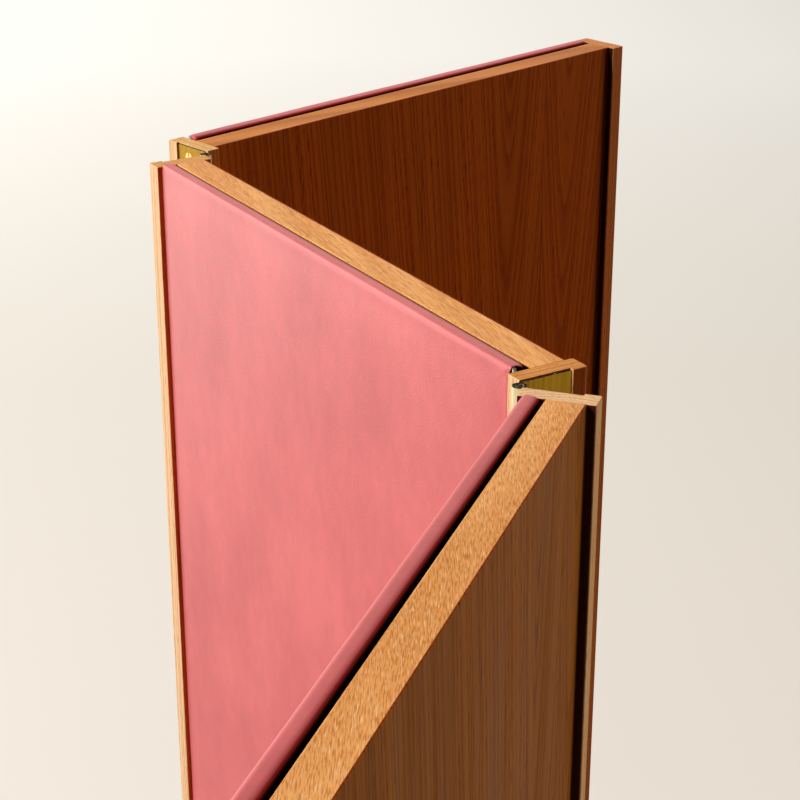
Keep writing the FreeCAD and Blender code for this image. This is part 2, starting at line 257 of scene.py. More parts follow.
def logPlace(tree, axes, look):
    # place in the log: across, through and along the grain; each veneer leaf is shifted from the last
    x, y, z = axes
    across, through, along = (y, z, x) if look["grain"] == "x" else (x, y, z)
    if "leaf" in look:
        leaf = look["leaf"] * mm
        number = addNode(tree, "Math", {"operation": "DIVIDE", 1: leaf}, {0: across})[0]
        number = addNode(tree, "Math", {"operation": "FLOOR"}, {0: number})[0]
        across = addNode(tree, "Math", {"operation": "FLOORED_MODULO", 1: leaf}, {0: across})[0]
        across, along = (
            addNode(tree, "Math", {**multiplyAdd, 1: shift * mm}, {0: number, 2: place})[0]
            for shift, place in zip(look["leafShift"], (across, along)))
    across = addNode(tree, "Math", {**multiplyAdd, 1: look["slant"]}, {0: along, 2: across})[0]
    return addNode(tree, "CombineXYZ", links={0: across, 1: through, 2: along})[0], along


def ringPart(tree, wood, along, bend, look):
    # ring distance = distance from the pith line + taper x height + wander
    # divided by a ring's width, its fraction gives early and late wood
    pith = (*(offset * mm for offset in look["pith"]), 0.0)
    offPith = addNode(tree, "VectorMath", {**subtract, 1: pith}, {0: wood})[0]
    offPith = addNode(tree, "VectorMath", flatten, {0: offPith})[0]
    ring = addNode(tree, "VectorMath", length, {0: offPith})["Value"]
    ring = addNode(tree, "Math", {**multiplyAdd, 1: look["taper"]}, {0: along, 2: ring})[0]
    ring = addNode(tree, "Math", {**multiplyAdd, 1: look["wander"] * mm}, {0: bend, 2: ring})[0]
    ring = addNode(tree, "Math", {"operation": "DIVIDE", 1: look["ring"] * mm}, {0: ring})[0]
    settings = {"noise_dimensions": "1D", "Scale": look["growthScale"], "Detail": 2.0}
    growth = addNode(tree, "TexNoise", settings, {"W": ring})[0]
    ring = addNode(tree, "Math", {**multiplyAdd, 1: look["growth"]}, {0: growth, 2: ring})[0]
    return addNode(tree, "Math", {"operation": "FRACT"}, {0: ring})[0]


def oakFinish(name, panel, look):
    # tone by ring, then streaks of fibre, broad bands, pale flecks, dark pores, joints, painted shade on
    # the right-hand and wood-side faces, oil on end grain, and painted shade in the shadow gap
    material, tree, shader = newMaterial(name, {"Specular IOR Level": look["shine"]})
    local = panelSpace(tree, panel)
    corner = np.array((*padLow[:2], 0.0)) - np.array((look["start"][0], 0.0, look["start"][1])) * mm
    local = addNode(tree, "VectorMath", {**subtract, 1: corner}, {0: local})[0]
    axes = addNode(tree, "SeparateXYZ", links={0: local})
    wood, along = logPlace(tree, axes, look)
    noise = {}
    for mark, detail in (("bend", 2.0), ("fibre", 3.0), ("band", 2.0), ("pore", 2.0), ("fleck", 1.0)):
        cell = stretched(tree, wood, look[mark + "Cell"])
        noise[mark] = addNode(tree, "TexNoise", {"Scale": 1.0, "Detail": detail}, {"Vector": cell})[0]
    ring = ringPart(tree, wood, along, noise["bend"], look)

    ringTones = [(0.0, "deep"), (0.3, "early"), (0.55, "late"), (0.8, "late"), (1.0, "deep")]
    stops = [(spot, look[part]) for spot, part in ringTones]
    tone = addNode(tree, "ValToRGB", {"stops": stops}, {0: ring})[0]
    settings = inTurn(*look["streakCut"], 0.0, look["streak"])
    streak = addNode(tree, "MapRange", settings, {0: noise["fibre"]})[0]
    tone = addNode(tree, "Mix", {**rgba, 7: tint(look["deep"])}, {0: streak, 6: tone})[2]
    shade = addNode(tree, "MapRange", inTurn(*noiseSpan, *look["shade"]), {0: noise["band"]})[0]
    tone = addNode(tree, "Mix", {**rgba, "blend_type": "MULTIPLY", 0: 1.0}, {6: tone, 7: shade})[2]
    settings = inTurn(*look["fleckCut"], 0.0, look["fleckPale"])
    light = addNode(tree, "MapRange", settings, {0: noise["fleck"]})[0]
    tone = addNode(tree, "Mix", {**rgba, 7: tint(look["pale"])}, {0: light, 6: tone})[2]
    early = addNode(tree, "MapRange", inTurn(*look["earlyPart"], 1.0, look["latePore"]), {0: ring})[0]
    settings = inTurn(*look["crowdCut"], look["cluster"], 1.0)
    crowd = addNode(tree, "MapRange", settings, {0: noise["band"]})[0]
    pit = addNode(tree, "MapRange", inTurn(*look["poreCut"]), {0: noise["pore"]})[0]
    pit = addNode(tree, "Math", multiply, {0: pit, 1: early})[0]
    pit = addNode(tree, "Math", multiply, {0: pit, 1: crowd})[0]
    dark = addNode(tree, "Math", {**multiply, 1: look["poreDark"]}, {0: pit})[0]
    tone = addNode(tree, "Mix", {**rgba, 7: tint(look["pore"])}, {0: dark, 6: tone})[2]

    if "leaf" in look:  # a fine dark joint between two leaves, open in places
        settings = {"operation": "PINGPONG", 1: look["leaf"] / 2 * mm}
        beside = addNode(tree, "Math", settings, {0: axes[0]})[0]
        joint = look["joint"] * mm
        line = addNode(tree, "MapRange", inTurn(0.5 * joint, 1.5 * joint, 1.0, 0.0), {0: beside})[0]
        cell = stretched(tree, wood, look["gapeCell"])
        gape = addNode(tree, "TexNoise", {"Scale": 1.0, "Detail": 1.0}, {"Vector": cell})[0]
        gape = addNode(tree, "MapRange", inTurn(*look["gapeCut"], *look["gape"]), {0: gape})[0]
        line = addNode(tree, "Math", multiply, {0: line, 1: gape})[0]
        tone = addNode(tree, "Mix", {**rgba, 7: tint(look["pore"])}, {0: line, 6: tone})[2]

    # painted shade darkens the right-hand and wood-side faces, and oil darkens the end grain, each in its
    # own way
    for share, hexText in zip(facings(tree, panels[panel]["turn"]), look["tones"]):
        settings = {**rgba, "blend_type": "MULTIPLY", 7: tint(hexText)}
        tone = addNode(tree, "Mix", settings, {0: share, 6: tone})[2]
    # painted shade: the face inside the shadow gap is painted black, stopping just under the top edge
    edge = (topEdge - reach * mm for reach in look["stainEdge"])
    stain = addNode(tree, "MapRange", inTurn(*edge, look["stained"], 0.0), {0: axes[2]})[0]
    tone = addNode(tree, "Mix", {**rgba, 7: tint(look["stain"])}, {0: stain, 6: tone})[2]

    relief = addNode(tree, "Math", {**multiplyAdd, 1: -1.0}, {0: pit, 2: noise["fibre"]})[0]
    settings = {"Strength": look["relief"], "Distance": look["reliefDepth"] * mm}
    bump = addNode(tree, "Bump", settings, {"Height": relief})[0]
    gloss = addNode(tree, "MapRange", inTurn(*noiseSpan, *look["rough"]), {0: noise["fibre"]})[0]
    wire(tree, shader, {"Base Color": tone, "Roughness": gloss, "Normal": bump})
    return material


# Aniline leather, dyed through and left open: soft clouds of colour, fine pebbled grain, a silky shine

leatherLook = {  # cells and edges in mm, edges measured from the pad's own
    "deep": "#B53D42", "middle": "#C1494D", "pale": "#CD5558", "dyeStops": (0.5, 0.72, 0.95),
    # painted shade: a deep, dull red where the leather turns back
    "turned": "#8C1F25", "turnedShare": 0.7, "turnedEdge": (3.5, 0.8),
    # painted highlight: paler along the top front edge
    "worn": "#DB6668", "wornEdge": (4, 1),
    # painted shade: dull black on the turned-in back and on the folded end
    "tape": "#0C0907", "backTape": (0.3, 0.0), "endTape": (0.9, 0.5),
    "cloud": (60, 60, 110), "mottle": (8, 8, 13), "mottleShare": 0.45,
    "pebble": 1.3, "pore": 0.6, "poreShare": 0.5, "relief": 0.3, "reliefDepth": 0.25,
    "rough": (0.48, 0.52), "shine": 1.0, "sheen": 0.04, "sheenRough": 0.4,
}
leatherLots = {  # how strongly a highlight is painted on the front edge, and whether shade is painted on the right-hand end
    "left": {"wear": 0.6, "taped": 0.0},
    "middle": {"wear": 0.1, "taped": 1.0},
    "right": {"wear": 0.6, "taped": 0.0},
}


def leatherFinish(name, panel, look):
    # clouds and mottle only shift the dye; the pebble is drawn coarser than real grain, so as to show
    # painted shade: a deep, dull red where the leather turns back; a painted highlight: paler along the
    # front edge
    # painted shade: the turned-in back is dull black, and on some pads so is the end where the leather is
    # folded
    settings = {"Sheen Weight": look["sheen"], "Sheen Roughness": look["sheenRough"]}
    material, tree, shader = newMaterial(name, settings)
    local = panelSpace(tree, panel)
    settings = {"Scale": 1.0, "Detail": 3.0}
    cell = stretched(tree, local, look["cloud"])
    cloud = addNode(tree, "TexNoise", {**settings, "Roughness": 0.55}, {"Vector": cell})[0]
    mottle = addNode(tree, "TexNoise", settings, {"Vector": stretched(tree, local, look["mottle"])})[0]
    settings = {**multiplyAdd, 1: look["mottleShare"]}
    dye = addNode(tree, "Math", settings, {0: mottle, 2: cloud})[0]
    stops = list(zip(look["dyeStops"], (look["deep"], look["middle"], look["pale"])))
    tone = addNode(tree, "ValToRGB", {"stops": stops}, {0: dye})[0]

    x, y, z = addNode(tree, "SeparateXYZ", links={0: local})
    # painted shade: black on the turned-in back and, on some pads, the folded end
    edge = (padHigh[1] - reach * mm for reach in look["backTape"])
    behind = addNode(tree, "MapRange", inTurn(*edge), {0: y})[0]
    edge = (padHigh[0] - reach * mm for reach in look["endTape"])
    beside = addNode(tree, "MapRange", inTurn(*edge, 0.0, look["taped"]), {0: x})[0]
    tape = addNode(tree, "Math", larger, {0: behind, 1: beside})[0]
    # painted shade where the leather turns back
    edge = (padHigh[1] - reach * mm for reach in look["turnedEdge"])
    turned = addNode(tree, "MapRange", inTurn(*edge), {0: y})[0]
    turned = addNode(tree, "Math", larger, {0: turned, 1: beside})[0]
    shine = addNode(tree, "MapRange", {3: look["shine"], 4: 0.0}, {0: turned})[0]
    turned = addNode(tree, "Math", {**multiply, 1: look["turnedShare"]}, {0: turned})[0]
    tone = addNode(tree, "Mix", {**rgba, 7: tint(look["turned"])}, {0: turned, 6: tone})[2]
    # painted highlight along the top front edge
    edge = (padHigh[2] - reach * mm for reach in look["wornEdge"])
    high = addNode(tree, "MapRange", inTurn(*edge), {0: z})[0]
    edge = (padLow[1] + reach * mm for reach in look["wornEdge"])
    fore = addNode(tree, "MapRange", inTurn(*edge, 0.0, look["wear"]), {0: y})[0]
    wear = addNode(tree, "Math", multiply, {0: high, 1: fore})[0]
    tone = addNode(tree, "Mix", {**rgba, 7: tint(look["worn"])}, {0: wear, 6: tone})[2]
    tone = addNode(tree, "Mix", {**rgba, 7: tint(look["tape"])}, {0: tape, 6: tone})[2]

    settings = {"feature": "SMOOTH_F1", "Scale": 1.0, "Smoothness": 0.6}
    cell = stretched(tree, local, (look["pebble"],) * 3)
    pebble = addNode(tree, "TexVoronoi", settings, {"Vector": cell})["Distance"]
    cell = stretched(tree, local, (look["pore"],) * 3)
    fine = addNode(tree, "TexNoise", {"Scale": 1.0, "Detail": 2.0}, {"Vector": cell})[0]
    settings = {**multiplyAdd, 1: look["poreShare"]}
    relief = addNode(tree, "Math", settings, {0: fine, 2: pebble})[0]
    settings = {"Strength": look["relief"], "Distance": look["reliefDepth"] * mm}
    bump = addNode(tree, "Bump", settings, {"Height": relief})[0]
    gloss = addNode(tree, "MapRange", inTurn(*noiseSpan, *look["rough"]), {0: mottle})[0]
    wire(tree, shader, {
        "Base Color": tone, "Roughness": gloss, "Normal": bump, "Specular IOR Level": shine})
    return material


# Metals, plastics and the woods that stay out of sight: two tones mixed by a drawn-out noise

otherCommon = {"dull": 0.0, "metal": 0.0, "shine": 0.5, "reliefDepth": 0.2}
endReflectionTones = [(0.35, "#0C0A07"), (0.62, "#4A4534"), (0.75, "#B9B49E")]  # painted reflection on the dull ends: dark with pale flecks
# painted highlight: a pale band round the pin, in place of the barrel's bright reflection
barrelHighlight = {"tone": "#E6DDB4", "share": 0.8, "edge": (4.6, 4.2)}  # mm from the middle of the pin
leafBrass = {  # satin brass strip, rolled lengthways and a little tarnished
    "low": "#8E6812", "high": "#A47F26", "dull": 1.0, "metal": 1.0,
    "cell": (1.6, 1.6, 40), "rough": (0.26, 0.42), "relief": 0.05,
}
otherLooks = {
    "turnedBrass": {  # screw heads, brighter where they were turned
        "low": "#D8B45E", "high": "#F6DD98", "metal": 1.0,
        "cell": (0.8, 0.8, 0.8), "rough": (0.2, 0.34), "relief": 0.05},
    "drawnSteel": {  # hinge pins, drawn wire gone dark
        "low": "#33312A", "high": "#57533F", "dull": 1.0, "metal": 1.0,
        "cell": (1.2, 1.2, 30), "rough": (0.5, 0.7), "relief": 0.1},
    "zincSteel": {  # zinc-plated screws inside the board
        "low": "#8D9198", "high": "#B9BDC2", "metal": 1.0,
        "cell": (1.5, 1.5, 1.5), "rough": (0.25, 0.4), "relief": 0.03},
    "blackNylon": {  # moulded studs and sockets
        "low": "#1B1B1C", "high": "#2B2B2C",
        "cell": (2, 2, 2), "rough": (0.4, 0.55), "relief": 0.05},
    "glidePlastic": {  # moulded feet
        "low": "#3A332C", "high": "#4A4239",
        "cell": (3, 3, 3), "rough": (0.45, 0.6), "relief": 0.08},
    "rawBlockboard": {  # softwood core strips
        "low": "#C9A772", "high": "#E0C392",
        "cell": (5, 5, 160), "rough": (0.6, 0.75), "relief": 0.2},
    "beech": {  # turned dowels
        "low": "#C99A6B", "high": "#DDB489",
        "cell": (3, 0.8, 0.8), "rough": (0.55, 0.7), "relief": 0.1},
    "rawEdge": {  # the cut edge of the leather, pale flesh and dark dye
        "low": "#2E2520", "high": "#F2ECE4",
        "cell": (1.1, 1.1, 1.1), "rough": (0.7, 0.85), "relief": 0.3},
    "birchPlywood": {  # thin board inside the pad
        "low": "#D2B384", "high": "#E6CFA6",
        "cell": (7, 7, 90), "rough": (0.55, 0.7), "relief": 0.1},
}


def plainFinish(name, ownLook, pin=None):
    look = {**otherCommon, **ownLook}
    material, tree, shader = newMaterial(name, {})
    place = addNode(tree, "TexCoord")["Object"]
    cell = stretched(tree, place, look["cell"])
    noise = addNode(tree, "TexNoise", {"Scale": 1.0, "Detail": 4.0}, {"Vector": cell})[0]
    stops = list(zip(noiseSpan, (look["low"], look["high"])))
    tone = addNode(tree, "ValToRGB", {"stops": stops}, {0: noise})[0]
    # the ends lose their shine, and a painted reflection, dark with pale flecks, takes its place
    endFace = facings(tree, 0.0)[2]
    dull = addNode(tree, "Math", {**multiply, 1: look["dull"]}, {0: endFace})[0]
    endReflection = addNode(tree, "ValToRGB", {"stops": endReflectionTones}, {0: noise})[0]
    tone = addNode(tree, "Mix", rgba, {0: dull, 6: tone, 7: endReflection})[2]
    metal = addNode(tree, "MapRange", {3: look["metal"], 4: 0.0}, {0: dull})[0]
    if pin is not None:  # painted highlight: the barrel round the pin is painted pale
        away = addNode(tree, "VectorMath", {**subtract, 1: (*pin, 0.0)}, {0: place})[0]
        away = addNode(tree, "VectorMath", flatten, {0: away})[0]
        away = addNode(tree, "VectorMath", length, {0: away})["Value"]
        edge = (reach * mm for reach in barrelHighlight["edge"])
        barrelLit = addNode(tree, "MapRange", inTurn(*edge, 0.0, barrelHighlight["share"]), {0: away})[0]
        less = {**subtract, "use_clamp": True}
        barrelLit = addNode(tree, "Math", less, {0: barrelLit, 1: dull})[0]
        tone = addNode(tree, "Mix", {**rgba, 7: tint(barrelHighlight["tone"])}, {0: barrelLit, 6: tone})[2]
        metal = addNode(tree, "Math", less, {0: metal, 1: barrelLit})[0]
    shine = addNode(tree, "MapRange", {3: look["shine"], 4: 0.0}, {0: dull})[0]
    gloss = addNode(tree, "MapRange", inTurn(*noiseSpan, *look["rough"][::-1]), {0: noise})[0]
    settings = {"Strength": look["relief"], "Distance": look["reliefDepth"] * mm}
    bump = addNode(tree, "Bump", settings, {"Height": noise})[0]
    wire(tree, shader, {
        "Base Color": tone, "Roughness": gloss, "Normal": bump, "Specular IOR Level": shine,
        "Metallic": metal})
    return material


plain = {name: plainFinish(name, look) for name, look in otherLooks.items()}
hiddenPieces = {
    "core_board": "rawBlockboard", "dowels": "beech", "pad_board": "birchPlywood",
    "pad_studs": "blackNylon", "pad_sockets": "blackNylon", "stud_screws": "zincSteel",
    "glides": "glidePlastic",
}
for panel in panels:
    for piece, kind in oakPieces.items():
        look = {**oakCommon, **oakLooks[kind], **oakLots[panel].get(piece, {})}
        # painted shade: only the back veneer is painted black in the shadow gap
        look["stained"] = float(piece == "back_veneer")
        dress(f"{panel}_panel_{piece}", oakFinish(f"{kind}Oak_{panel}_{piece}", panel, look))
    for piece, finish in hiddenPieces.items():
        dress(f"{panel}_panel_{piece}", plain[finish])
for panel in ("left", "right"):
    hinge = f"{panel}_hinge"
    rolledBrass = plainFinish(f"rolledBrass_{panel}", leafBrass, panels[panel]["pin"])
    for side in ("outer", "inner"):
        dress(f"{hinge}_{side}_leaf", rolledBrass)
        dress(f"{hinge}_{side}_screws", plain["turnedBrass"])
    dress(f"{hinge}_pin", plain["drawnSteel"])
print("wood, brass and hidden pieces dressed")


# Leather pads: leather over thin foam, drawn round the pad board and turned in behind it

padForm = {  # mm
    "frontRadius": 3.2, "cornerRadius": 1.6, "backRadius": 1.5, "leather": 1.2,
    "turnIn": 25.0, "turnInRings": (5, 11, 18), "liningRing": 12,  # on the back, outside and inside
    "endPull": 0.55, "bulge": 0.3, "rake": 0.6,
    "rim": 14.0, "rimCorner": 15.0, "cell": 12.0, "cornerSteps": 6,
    "swell": 0.6, "ease": 12, "grip": 9.0,
    "ripple": 0.15, "waves": (14, 75, 14),  # fewest and most waves round the pad, and how many sorts
    "rippleFade": (8.0, 12.8), "rippleInside": 0.6, "rippleRise": (0.2, 0.7),
    "pleat": 0.3, "pleats": 3, "pleatReach": 3.0, "pleatRise": 0.7,
}
skinCloth = {"pressure": 0.4, "steps": 20, "quality": 6, "mass": 0.15, "stretch": 30, "bend": 4}


def padProfile(form, thickness, boardThickness):
    # the section through the pad's edge, ring by ring: inset from the outline, height off the back and
    # corner radius; the side bulges where the foam is, and draws in as the square of the way back
    front = thickness - form["swell"]
    flatRings = 5
    turn = np.radians(np.linspace(15, 90, 6))  # round the front edge
    side = np.linspace(0.25, 1, 4)  # down the side
    back = np.radians((30, 60, 90))  # round the back edge
    r, b, skin, rim = form["frontRadius"], form["backRadius"], form["leather"], form["rim"]
    insets = [*np.linspace(rim, r, flatRings), *(r - r * np.sin(turn) - form["bulge"] * np.sin(turn)),
              *(form["rake"] * side ** 2 - form["bulge"])]
    heights = [front] * flatRings
    heights += [*(front - r + r * np.cos(turn)), *(front - r + (b - front + r) * side)]
    insets += [*(insets[-1] + b - b * np.cos(back)), *form["turnInRings"], form["turnIn"]]
    heights += [*(b - b * np.sin(back)), *np.zeros(len(form["turnInRings"]) + 1)]
    outerRings = len(insets)
    insets += [form["turnIn"], form["liningRing"], skin, skin, rim]
    heights += [skin, skin, skin, skin + boardThickness, skin + boardThickness]
    insets, heights = np.array(insets), np.array(heights)
    radii = np.interp(insets, (0, rim), (form["cornerRadius"], form["rimCorner"]))
    tighter = (np.arange(len(insets)) < flatRings + turn.size) & (insets > 0)  # sharper at the two ends
    endInsets = np.where(tighter, form["endPull"] * insets, insets)
    return insets * mm, endInsets * mm, heights * mm, radii * mm, outerRings


def roundedSide(alongHalf, outHalf, radius, cornerSteps, steps):
    # one side of a rounded rectangle, mid-corner to mid-corner: place along it, distance out, turn
    half = np.linspace(0, 1, cornerSteps + 1)[1:]
    turn = np.concatenate((-half[::-1], np.zeros(steps + 1), half)) * np.pi / 4
    run = np.concatenate((-np.ones(cornerSteps), np.linspace(-1, 1, steps + 1), np.ones(cornerSteps)))
    along = run * (alongHalf - radius) + radius * np.sin(turn)
    return along, outHalf - radius + radius * np.cos(turn), turn


def roundedLoops(halfX, halfZ, radius, form):
    # closed loops, one per ring, anticlockwise from the lower left corner as seen from the leather side
    stepsX, stepsZ = (round(2 * float(half[0]) / (form["cell"] * mm)) for half in (halfX, halfZ))
    halfX, halfZ, radius = halfX[:, None], halfZ[:, None], radius[:, None]
    alongX, outZ, turnX = roundedSide(halfX, halfZ, radius, form["cornerSteps"], stepsX)
    alongZ, outX, turnZ = roundedSide(halfZ, halfX, radius, form["cornerSteps"], stepsZ)
    x = np.concatenate((alongX[:, :-1], outX[:, :-1], -alongX[:, :-1], -outX[:, :-1]), axis=1)
    z = np.concatenate((-outZ[:, :-1], alongZ[:, :-1], outZ[:, :-1], -alongZ[:, :-1]), axis=1)
    turnX, turnZ = turnX[:-1], turnZ[:-1]
    facing = np.concatenate((turnX - np.pi / 2, turnZ, turnX + np.pi / 2, turnZ + np.pi))
    return x, z, facing, alongX.shape[1] - 1, alongZ.shape[1] - 1


def filled(x, z, countX, countZ):
    # the sheet inside one loop: each point lies between the loop's four sides, weighed by its place
    sides = np.split(np.stack((x, z), axis=-1), np.cumsum((countX, countZ, countX)))
    closed = [np.vstack((side, following[:1])) for side, following in zip(sides, sides[1:] + sides[:1])]
    bottom, right, top, left = closed[0], closed[1], closed[2][::-1], closed[3][::-1]
    u = ((bottom[:, 0] - bottom[0, 0]) / np.ptp(bottom[:, 0]))[None, :, None]
    v = ((right[:, 1] - right[0, 1]) / np.ptp(right[:, 1]))[:, None, None]
    corners = (1 - u) * (1 - v) * bottom[0] + u * (1 - v) * bottom[-1]
    corners = corners + (1 - u) * v * top[0] + u * v * top[-1]
    sheet = (1 - v) * bottom[None] + v * top[None] + (1 - u) * left[:, None] + u * right[:, None]
    return (sheet - corners)[1:-1, 1:-1].reshape(-1, 2)


def sheetFaces(loop, inner, countX, countZ):
    # quads of a sheet whose border is the loop and whose inside has its own points
    grid = np.zeros((countZ + 1, countX + 1), int)
    bottom, right, top, left = np.split(loop, np.cumsum((countX, countZ, countX)))
    grid[0, :-1], grid[:-1, -1] = bottom, right
    grid[-1, :0:-1], grid[:0:-1, 0] = top, left
    grid[1:-1, 1:-1] = inner.reshape(countZ - 1, countX - 1)
    quads = (grid[:-1, :-1], grid[:-1, 1:], grid[1:, 1:], grid[1:, :-1])
    return np.stack(quads, axis=-1).reshape(-1, 4)


def bandFaces(rings):  # quads between each ring and the next
    after = np.roll(rings, -1, axis=1)
    return np.stack((rings[:-1], rings[1:], after[1:], after[:-1]), axis=-1).reshape(-1, 4)


def swollen(name, points, faces, held, form, cloth):
    # the skin is blown up a little from inside, without gravity; its edge, sides and turn-in are held
    # move = swell x tanh(eased move / swell), so that no point goes further than the swell
    mesh = bpy.data.meshes.new(name)
    mesh.from_pydata(points.tolist(), [], faces.tolist())
    skin = bpy.data.objects.new(name, mesh)
    scene.collection.objects.link(skin)
    group = skin.vertex_groups.new(name="held")
    for weight in np.unique(held):
        group.add(np.flatnonzero(held == weight).tolist(), float(weight), "REPLACE")
    swelling = skin.modifiers.new("swell", "CLOTH")
    settings = swelling.settings
    settings.quality = cloth["quality"]
    settings.mass = cloth["mass"]
    settings.tension_stiffness = settings.compression_stiffness = cloth["stretch"]
    settings.bending_stiffness = cloth["bend"]
    settings.use_pressure = True
    settings.uniform_pressure_force = cloth["pressure"]
    settings.vertex_group_mass = "held"
    settings.effector_weights.gravity = 0
    swelling.point_cache.frame_start, swelling.point_cache.frame_end = 1, cloth["steps"]
    for step in range(1, cloth["steps"] + 1):
        scene.frame_set(step)
    settled = skin.evaluated_get(bpy.context.evaluated_depsgraph_get()).data
    moved = np.empty(len(points) * 3)
    settled.vertices.foreach_get("co", moved)
    scene.frame_set(1)
    bpy.data.objects.remove(skin)
    move = moved.reshape(-1, 3) - points
    ends = np.vstack([faces[:, [k, (k + 1) % 4]] for k in range(4)])
    count = np.bincount(ends[:, 0], minlength=len(points))[:, None]
    for _ in range(form["ease"]):  # neighbours share their move, which takes creases out of the corners
        near = [np.bincount(ends[:, 0], way[ends[:, 1]], len(points)) for way in move.T]
        move = np.where(held[:, None] > 0, 0.0, (move + np.column_stack(near) / count) / 2)
    reach = np.linalg.norm(move, axis=1, keepdims=True)
    print(name, "swelled by", (reach.max() / mm).round(2), "mm at most")
    limit, tiny = form["swell"] * mm, 1e-9  # tiny keeps points that stay put from dividing by nothing
    return points + move * (limit * np.tanh(reach / limit) / np.maximum(reach, tiny))


def makePad(panel, form, seed):
    # the edge's section carried round a rounded rectangle, with a sheet inside its first and last rings
    size = padHigh - padLow
    boardThickness = (boardHigh - boardLow)[1]
    insets, endInsets, heights, radii, outerRings = padProfile(form, size[1] / mm, boardThickness / mm)
    halfX, halfZ = size[0] / 2 - endInsets, size[2] / 2 - insets
    x, z, facing, countX, countZ = roundedLoops(halfX, halfZ, radii, form)
    ringCount, loopCount = x.shape

    # along the edge the leather is pulled unevenly, and at the corners it is gathered in pleats
    draw = np.random.default_rng(seed)
    waves = draw.integers(*form["waves"])
    phases = draw.uniform(0, 2 * np.pi, (2, waves.size, 1))
    circle = np.linspace(0, 2 * np.pi, loopCount, endpoint=False)
    pull = np.sin(waves[:, None] * circle + phases).mean(axis=1) * form["ripple"] * mm * 2
    corner = np.abs(np.sin(2 * facing))
    pleat = form["pleat"] * mm * corner * np.cos(form["pleats"] * 4 * facing)
    outer = np.arange(ringCount) < outerRings
    rise = heights / heights.max()
    inside = np.interp(insets / mm, form["rippleFade"], (form["rippleInside"], 0))
    edge = np.where(insets < form["frontRadius"] * mm, 1.0, inside)
    onFront = np.where(outer, edge * np.interp(rise, form["rippleRise"], (0, 1)), 0)[:, None]
    pleated = outer & (insets < form["pleatReach"] * mm)
    onSide = np.where(pleated, 1 - form["pleatRise"] * rise, 0)[:, None]
    outwards = onFront * pull[0] + onSide * (pleat - np.abs(pleat))
    x = x + outwards * np.cos(facing)
    z = z + outwards * np.sin(facing)
    y = heights[:, None] + onFront * pull[1]

    rings = np.stack((x, y, z), axis=-1)
    sheets = [np.insert(filled(x[k], z[k], countX, countZ), 1, heights[k], axis=1) for k in (0, -1)]
    outerCount, sheetCount = outerRings * loopCount, len(sheets[0])
    skinCount = outerCount + sheetCount
    points = np.vstack((rings[:outerRings].reshape(-1, 3), sheets[0],
                        rings[outerRings:].reshape(-1, 3), sheets[1]))
    points = np.array((1, -1, 1)) * points + (padMiddle[0], padHigh[1], padMiddle[2])
    number = np.arange(len(points))
    ringNumbers = np.concatenate((number[:outerCount], number[skinCount:-sheetCount]))
    ringNumbers = ringNumbers.reshape(ringCount, loopCount)
    frontSheet = sheetFaces(ringNumbers[0], number[outerCount:skinCount], countX, countZ)
    innerSheet = sheetFaces(ringNumbers[-1], number[-sheetCount:], countX, countZ)[:, ::-1]
    outerFaces = np.vstack((bandFaces(ringNumbers[:outerRings]), frontSheet))
    innerFaces = np.vstack((bandFaces(ringNumbers[outerRings - 1:]), innerSheet))

    name = f"{panel}_panel_pad"
    onEdge = (heights < heights[0]) | (insets < form["grip"] * mm)
    grip = np.where(onEdge[:outerRings], 1.0, 0.0)
    held = np.concatenate((np.repeat(grip, loopCount), np.zeros(sheetCount)))
    skin = points[:skinCount]
    points[:skinCount] = swollen(name + "_skin", skin, outerFaces, held, form, skinCloth)
    mesh = bpy.data.meshes.new(name)
    mesh.from_pydata(placed(points, panel).tolist(), [], np.vstack((outerFaces, innerFaces)).tolist())
    mesh.polygons.foreach_set("use_smooth", np.ones(len(mesh.polygons), bool))
    look = {**leatherLook, **leatherLots[panel]}
    mesh.materials.append(leatherFinish(f"anilineLeather_{panel}", panel, look))
    pad = bpy.data.objects.new(name, mesh)
    scene.collection.objects.link(pad)
    rounding = pad.modifiers.new("rounding", "SUBSURF")
    rounding.levels = rounding.render_levels = 1
    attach(pad, f"{panel}_panel")
    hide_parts(f"{panel}_panel_leather", f"{panel}_panel_pad_foam")


tuckForm = {  # mm: the cut edge of the leather, folded over at the pad's right-hand top corner
    "inset": (2.4, 1.6), "off": 0.6, "half": 0.4, "length": 24.0,
    "drop": (0.2, 3.2), "stand": (0.25, 0.45),  # how far the top falls, and over which part of the way
    "wave": 0.2, "topWave": 19, "sideWave": 9, "rows": 15, "around": 24,
}


